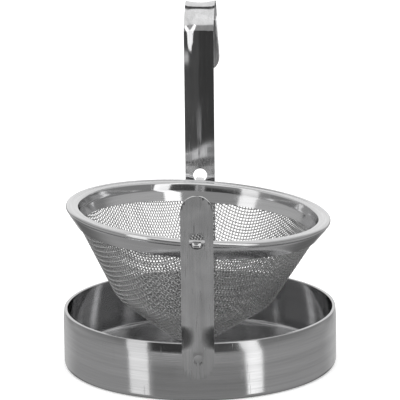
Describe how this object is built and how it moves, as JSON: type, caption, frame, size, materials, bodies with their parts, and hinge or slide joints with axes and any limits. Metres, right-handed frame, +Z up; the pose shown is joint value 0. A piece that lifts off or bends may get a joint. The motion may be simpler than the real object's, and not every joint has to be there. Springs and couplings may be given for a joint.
{
  "type": "tea strainer",
  "caption": "Steel tea strainer: a mesh cup swings between two upright strips riveted to a shallow drip dish; the rear strip is the handle and ends in a hook.",
  "frame": {"origin": "centre of the flat underside of the dish", "axes": "+Z up, +Y towards the handle, -Y towards the short front post, +X along the dish's width, square to the pivot"},
  "size_m": [0.076, 0.0959, 0.0941],
  "materials": {
    "dish_steel": "stainless sheet, finely turned and polished",
    "strip_steel": "stainless strip, rolled and tumbled",
    "rivet_steel": "stainless, pressed flush",
    "rim_steel": "stainless sheet, polished bright",
    "mesh_steel": "plain weave of stainless wire"
  },
  "bodies": {
    "stand": {"drip_dish": "dish_steel", "front_post": "strip_steel", "handle": "strip_steel", "front_rivet": "rivet_steel", "rear_rivet": "rivet_steel"},
    "basket": {"rim_ring": "rim_steel", "clamp_band": "rim_steel", "mesh_cup": "mesh_steel", "front_tongue": "rim_steel", "rear_tongue": "rim_steel"}
  },
  "joints": [
    {"name": "basket_swing", "type": "hinge", "parent": "stand", "child": "basket", "pos_m": [0, 0, 0.04416], "axis": [0, 1, 0], "continuous": true}
  ]
}
